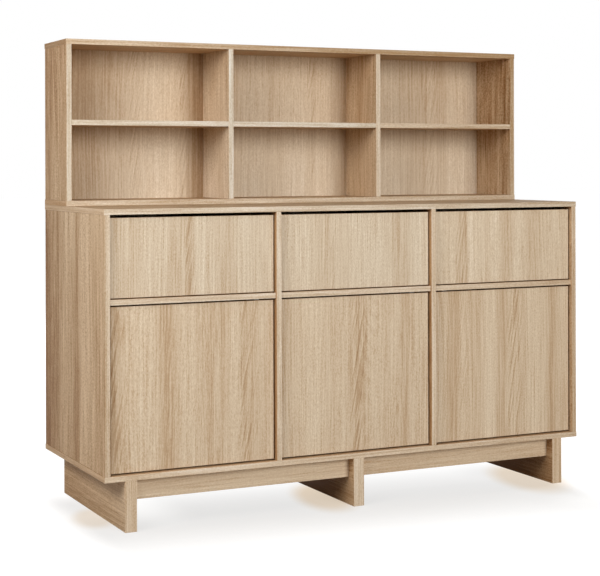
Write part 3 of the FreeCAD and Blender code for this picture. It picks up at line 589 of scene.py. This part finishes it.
# How each board differs from plain oak facing. A pair runs along the board, from the low end
# of its grain to the high end. The spread widens the figure.
FIGURES = {
    "drawer_front_left": {**FRONT, "Broad": 0.6, "Tone": 0.02, "Deep": -0.4, "Fine": 1.05},
    "drawer_front_middle": {**FRONT, "Tone": 0.07, "Deep": -0.3, "Fine": 1.1},
    "drawer_front_right": {**FRONT, "Broad": 1.3, "Tone": 0.06, "Deep": 0.05, "Fine": 1.05},
    "door_left": {**FRONT, "Broad": 0.68},
    "door_middle": {**FRONT, "Broad": 0.75, "Tone": 0.01},
    "door_right": {**FRONT, "Broad": 1.6, "Tone": 0.01, "Deep": 0.15},
    # Painted light: the side grows lighter and less brown towards its top, where more light falls
    "base_side_left": {
        "spread": 2.4, "Broad": 1.35, "Figure": 0.4, "Deep": (1.5, 1.1), "Bands": 1.1,
        "Tone": (0.07, 0.14), "Fine": 1.8, "Rim": -0.15, "Stain": -0.4},
    # Painted shade: this side's front edge is darker, as it lies in shade
    "base_side_right": {
        "spread": 2.4, "Figure": 0.6, "Deep": 1.4, "Bands": 0.9, "Fine": 1.8,
        "Rim": (-0.30, -0.14), "Stain": 0.2},
    "hutch_side_left": {
        "spread": 2.4, "Figure": 0.4, "Deep": (1.3, 1.5), "Bands": 0.7, "Tone": (0.07, -0.10),
        "Fine": 1.8, "Rim": (-0.10, -0.18), "Stain": -1.2},
    # Painted shade: this side's front edge is darker, the more so towards its top, as it lies in
    # shade
    "hutch_side_right": {
        "spread": 2.4, "Figure": 0.6, "Deep": (1.1, 1.5), "Bands": 0.8, "Tone": (0.08, -0.18),
        "Fine": 1.8, "Rim": (-0.18, -0.45)},
    "hutch_divider_left": {
        "spread": 2.0, "Tone": (0.31, 0.04), "Deep": (0.2, 0.7), "Bands": 0.9, "Fine": 1.4,
        "Rim": (0.06, -0.02), "Stain": -1.2},
    "hutch_divider_right": {
        "spread": 2.0, "Tone": (0.14, -0.04), "Deep": (1.0, 1.3), "Bands": 0.9, "Fine": 1.4,
        "Rim": (0.06, -0.02), "Stain": -0.3},
    "base_divider_left": {**INSIDE_SHADE, "Rim": (-0.02, 0.04), "Stain": -0.3},
    "base_divider_right": {**INSIDE_SHADE, "Rim": (-0.08, 0.04)},
    "base_bottom": {**INSIDE_SHADE, "Rim": (0.02, -0.06), "EndRim": 0.07, "EndStain": 1.6},
    "drawer_deck_left": {**INSIDE_SHADE, "Rim": (-0.08, 0.04), "Stain": -0.3},
    "drawer_deck_middle": {**INSIDE_SHADE, "Rim": (0.03, 0.0), "Stain": -0.2},
    "drawer_deck_right": {**INSIDE_SHADE, "Rim": (-0.12, -0.19)},
    # Painted shade: the legs grow darker and browner towards their back ends, under the chest
    "leg_left": {
        "Deep": (1.3, 2.2), "Tone": (0.24, 0.0), "Rim": -0.12, "Bands": 0.3, "Figure": 0.6,
        "Fine": 1.8},
    "leg_middle": {"Deep": 1.6, "Tone": (0.08, -1.9), "Rim": -0.04, "Bands": 0.3, "Fine": 1.2},
    "leg_right": {
        "Deep": 1.6, "Tone": (-0.2, -1.2), "Rim": -0.10, "Bands": 0.3, "Fine": 1.2,
        "Stain": 0.5},
    "apron_front_left": {"Tone": 0.10, "Bands": 0.2, "Figure": 0.5, "Deep": 0.4},
    "apron_front_right": {"Tone": 0.04, "Bands": 0.2, "Figure": 0.5, "Deep": 0.5},
    # Painted shade: the front edge darkens towards the right end, where less light falls
    "base_top_board": {
        "Deep": 1.3, "Rim": (0.06, -0.18), "Stain": -0.6, "EndRim": 0.06, "EndStain": 1.05},
    # Painted shade: the niche floor's faces are darker and browner, as they lie in shade
    "hutch_bottom_board": {
        "Deep": 1.1, "Tone": -0.14, "Rim": (-0.14, -0.17), "Stain": -0.5, "EndRim": -0.14,
        "EndStain": 1.8},
    # Painted shade: the board's faces are a little darker, for the shade under it, and its front
    # edge and end face darken towards the right end
    "hutch_top_board": {
        "Deep": 1.4, "Tone": -0.05, "Rim": (-0.12, -0.50), "EndRim": -0.45, "EndStain": 0.4},
    "cupboard_shelves": {"Deep": 0.8},
    # Painted shade: the shelves' faces are darker and browner, as they lie in shade inside the
    # niches
    "hutch_shelf_left": {"Deep": 1.1, "Tone": -0.07, "Rim": (0.0, 0.14), "Stain": -1.0},
    "hutch_shelf_middle": {"Deep": 1.1, "Tone": -0.07, "Rim": (0.07, -0.01), "Stain": -1.0},
    "hutch_shelf_right": {"Deep": 1.1, "Tone": -0.07, "Rim": (0.0, -0.20)},
    # Painted light: the back grows lighter and less brown towards its foot, which lifts the lower
    # niches out of the shelves' shade
    "hutch_back_sheet": {
        "Broad": 1.0, "Figure": 0.5, "Deep": (0.2, 0.45), "Tone": (0.15, 0.0)},
}
# The plainer boards of the drawer boxes
BOX_BOARDS = {
    "drawer_sides": ALONG_SIDE, "drawer_back": ALONG_FRONT, "drawer_bottom": LYING_DEEP}
BOX_FIGURE = {"Tone": 0.03, "Bands": 0.25, "Figure": 0.4}
BOX_FIRST_SEED = 50


def dress_boards():
    for seed, (node, lie) in enumerate(BOARDS.items(), 1):
        dress(node, oak(
            "oak_" + node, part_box(node), lie, seed, BANDS.get(node, ()),
            STROKES.get(node, ()), **FIGURES.get(node, {})))
        soften(node)


def dress_boxes():
    for kind, lie in BOX_BOARDS.items():
        for seed, bay in enumerate(BAYS, BOX_FIRST_SEED):
            node = "%s_%s" % (kind, bay)
            dress(node, oak("box_" + node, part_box(node), lie, seed, **BOX_FIGURE))
            soften(node)


def dress_fittings():
    zinc = steel("zinc_plate", ZINC, ZINC_ROUGHNESS)
    nickel = steel("nickel_plate", NICKEL, NICKEL_ROUGHNESS)
    plastic = moulded("light_grey_plastic", LIGHT_GREY)
    dress("cabinet_runners", zinc)
    dress("carcass_screws", zinc)
    dress("hinge_arms", nickel)
    dress("shelf_pins", nickel)
    dress("latch_bodies", plastic)
    for bay in BAYS:
        dress("drawer_runners_" + bay, zinc)
        dress("ball_cages_" + bay, nickel)
        dress("hinge_cups_" + bay, nickel)
        dress("latch_plunger_" + bay, plastic)


# Stage: a white floor that keeps a soft shadow, a white surround and broad lamps

FLOOR_HALF = 40.0
# How the floor reflects the lamps: as the camera sees it, beside its glow, and for the chest
FLOOR_TINT = (0.21, 0.21, 0.22, 1)
FLOOR_BOUNCE = (0.42, 0.36, 0.29, 1)
# The glow's strength is one on the open floor. In the shade it has this strength and colour.
SHADE_GLOW = 0.715
SHADE_TINT = (0.99, 0.987, 0.976, 1)
# The shade's middle, half size and fade in X and Y. It skews to the front at the right.
SHADE_MIDDLE = (-0.06, -0.29)
SHADE_SKEW = 0.10
SHADE_HALF = (0.73, 0.02)
SHADE_FADE = (0.12, 0.50)
# Lighter and darker spots in the shade beside the legs: (middle, reach, change of the glow)
SHADE_SPOTS = (
    ((-0.61, -0.03), (0.16, 0.30), 0.14), ((-0.77, 0.14), (0.11, 0.22), -0.20),
    ((0.62, -0.02), (0.14, 0.16), -0.05), ((0.71, -0.52), (0.20, 0.15), 0.10))
# The warm patches are painted light, for the warm light that the legs' oak throws onto the floor.
# The middle of a warm patch is measured from its leg's low corner. A patch leans to the right
# at its back, stands further forward at the right, and is whole in the core of its reach.
WARM_TINT = (0.86, 0.73, 0.58, 1)
WARM_MIDDLE = (-0.02, 0.16)
WARM_LEAN = 0.2
WARM_SKEW = 0.07
WARM_CORE = 0.45
# The warm patch beside each leg: (strength, (reach across, reach along))
WARM_PATCHES = {
    "leg_left": (0.7, (0.085, 0.16)), "leg_middle": (1.0, (0.12, 0.25)),
    "leg_right": (0.9, (0.15, 0.28))}


def seen_directly(tree):
    """One for rays from the camera and for those that gloss or glass sends on."""
    rays = tree.nodes.new("ShaderNodeLightPath").outputs
    seen = calc(tree, "ADD", rays["Is Camera Ray"], rays["Is Glossy Ray"], clamp=True)
    return calc(tree, "ADD", seen, rays["Is Transmission Ray"], clamp=True)


def radius(tree, across, along, reach):
    """The distance of a spot on the floor, as a share of the reach in each direction."""
    return calc(tree, "SQRT", total(tree, *(
        (offset, calc(tree, "MULTIPLY", offset, 1 / size ** 2))
        for offset, size in zip((across, along), reach))))


def near_feet(tree, place):
    """Up to one beside each leg, where the floor's glow takes a painted warm light, as the oak
    throws it onto the floor.
    """
    warm = 0.0
    for leg, (strength, reach) in WARM_PATCHES.items():
        low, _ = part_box(leg)
        left = low[X] + WARM_MIDDLE[0]
        middle = low[Y] + WARM_MIDDLE[1] - WARM_SKEW * low[X]
        along = total(tree, place[Y], -middle)
        across = total(tree, place[X], (along, -WARM_LEAN), -left)
        distance = radius(tree, across, along, reach)
        patch = remap(tree, distance, 1.0, WARM_CORE, 0.0, strength)
        warm = calc(tree, "MAXIMUM", warm, patch)
    return warm


def away_from_shade(tree, place):
    """Zero in the soft shade before the chest's feet and one out on the open floor."""
    skewed = total(tree, place[Y], (place[X], SHADE_SKEW))
    outside = []
    for spot, middle, half in zip((place[X], skewed), SHADE_MIDDLE, SHADE_HALF):
        offset = calc(tree, "ABSOLUTE", calc(tree, "SUBTRACT", spot, middle))
        beyond = calc(tree, "SUBTRACT", offset, half)
        outside.append(calc(tree, "MAXIMUM", beyond, 0.0))
    return remap(tree, radius(tree, *outside, SHADE_FADE), 0.0, 1.0)


def glow_strength(tree, place, open_share):
    """The floor's glow, dimmer in the shade, with its lighter and darker spots."""
    strength = total(tree, SHADE_GLOW, (open_share, 1 - SHADE_GLOW))
    for middle, reach, change in SHADE_SPOTS:
        across, along = (total(tree, spot, -centre) for spot, centre in zip(place, middle))
        spot_change = remap(tree, radius(tree, across, along, reach), 1.0, 0.0, 0.0, change)
        strength = total(tree, strength, spot_change)
    return strength


def surface(tree, kind, colour):
    node = tree.nodes.new(kind)
    feed(tree, node.inputs["Color"], colour)
    return node


def finish_tree(tree, kind, to_others, to_camera):
    """Ends a tree with one surface for the camera and another one for other rays."""
    both = tree.nodes.new("ShaderNodeMixShader")
    output = tree.nodes.new(kind)
    feed(tree, both.inputs[0], seen_directly(tree))
    feed(tree, both.inputs[1], to_others.outputs[0])
    feed(tree, both.inputs[2], to_camera.outputs[0])
    feed(tree, output.inputs[0], both.outputs[0])


def floor_material():
    material = bpy.data.materials.new("floor_white")
    tree = bare_tree(material)
    place = parts_of(tree, tree.nodes.new("ShaderNodeTexCoord").outputs["Object"])
    open_share = away_from_shade(tree, place)
    plain = mix(tree, open_share, SHADE_TINT, WHITE, "RGBA")
    colour = mix(tree, near_feet(tree, place), plain, WARM_TINT, "RGBA")
    glow = surface(tree, "ShaderNodeEmission", colour)
    feed(tree, glow.inputs["Strength"], glow_strength(tree, place, open_share))
    shown = tree.nodes.new("ShaderNodeAddShader")
    feed(tree, shown.inputs[0], surface(tree, "ShaderNodeBsdfDiffuse", FLOOR_TINT).outputs[0])
    feed(tree, shown.inputs[1], glow.outputs[0])
    bounce = surface(tree, "ShaderNodeBsdfDiffuse", FLOOR_BOUNCE)
    finish_tree(tree, "ShaderNodeOutputMaterial", bounce, shown)
    return material


def make_floor():
    mesh = bpy.data.meshes.new("floor")
    ways = ((-1, -1), (1, -1), (1, 1), (-1, 1))
    corners = [(FLOOR_HALF * right, FLOOR_HALF * back, 0) for right, back in ways]
    mesh.from_pydata(corners, [], [(0, 1, 2, 3)])
    mesh.materials.append(floor_material())
    floor = bpy.data.objects.new("floor", mesh)
    bpy.context.scene.collection.objects.link(floor)


# The faint light that the white surround throws on the chest
WORLD_FILL = (0.022, 0.017, 0.012, 1)


def make_world():
    world = bpy.data.worlds.new("studio")
    bpy.context.scene.world = world
    tree = bare_tree(world)
    fill, white = (
        surface(tree, "ShaderNodeBackground", colour) for colour in (WORLD_FILL, WHITE))
    finish_tree(tree, "ShaderNodeOutputWorld", fill, white)


LAMP_TARGET = Vector((-0.3, -0.2, 0.9))
# Each lamp: (azimuth from the front to the right and elevation, in degrees, distance and size
# in metres, power in watts, colour)
LAMPS = {
    "left": (-70.0, 24.0, 2.8, 1.0, 32.0, (1.0, 0.90, 0.78)),
    "left_front": (-50.0, 18.0, 2.8, 1.0, 19.0, (1.0, 1.0, 0.98)),
    "front": (15.0, 12.0, 6.0, 3.0, 238.0, (1.0, 1.0, 0.97)),
    "right": (100.0, 4.0, 6.0, 2.0, 170.0, (1.0, 1.0, 0.97)),
    "back": (178.0, 16.0, 6.0, 2.0, 200.0, (1.0, 1.0, 0.97)),
}


def make_lamp(name, azimuth, elevation, distance, size, power, colour):
    light = bpy.data.lights.new(name, "AREA")
    light.shape = "DISK"
    light.size = size
    light.energy = power
    light.color = colour
    lamp = bpy.data.objects.new(name, light)
    bpy.context.scene.collection.objects.link(lamp)
    turn, lift = math.radians(azimuth), math.radians(elevation)
    back = Vector((
        math.sin(turn) * math.cos(lift), -math.cos(turn) * math.cos(lift), math.sin(lift)))
    lamp.location = LAMP_TARGET + back * distance
    lamp.rotation_mode = "QUATERNION"
    lamp.rotation_quaternion = back.to_track_quat("Z", "Y")
    lamp.visible_camera = False


# Camera

# The place in metres, the turn about the upright and the roll about the view, the lens in
# millimetres, the shift as a share of the sensor, and the nearest and farthest view in metres
CAMERA_PLACE = Vector((-2.131155, -4.261717, 1.029973))
CAMERA_TURN = math.radians(-25.9792)
CAMERA_ROLL = math.radians(-0.1551)
CAMERA_LENS = 89.894
CAMERA_SHIFT_DOWN = 0.2071
CAMERA_NEAR = 0.05
CAMERA_FAR = 200.0


def make_camera():
    data = bpy.data.cameras.new("camera")
    data.lens = CAMERA_LENS
    data.shift_y = -CAMERA_SHIFT_DOWN
    data.clip_start = CAMERA_NEAR
    data.clip_end = CAMERA_FAR
    camera = bpy.data.objects.new("camera", data)
    bpy.context.scene.collection.objects.link(camera)
    level_right = Vector((math.cos(CAMERA_TURN), math.sin(CAMERA_TURN), 0))
    back = Vector((math.sin(CAMERA_TURN), -math.cos(CAMERA_TURN), 0))
    up = Vector((0, 0, 1))
    right = level_right * math.cos(CAMERA_ROLL) + up * math.sin(CAMERA_ROLL)
    top = up * math.cos(CAMERA_ROLL) - level_right * math.sin(CAMERA_ROLL)
    camera.matrix_world = Matrix.Translation(CAMERA_PLACE) @ Matrix(
        (right, top, back)).transposed().to_4x4()
    bpy.context.scene.camera = camera


make_camera()
dress_boards()
dress_boxes()
dress_fittings()
make_floor()
make_world()
for lamp_name, lamp_facts in LAMPS.items():
    make_lamp(lamp_name, *lamp_facts)
bpy.context.scene.view_settings.view_transform = "Standard"
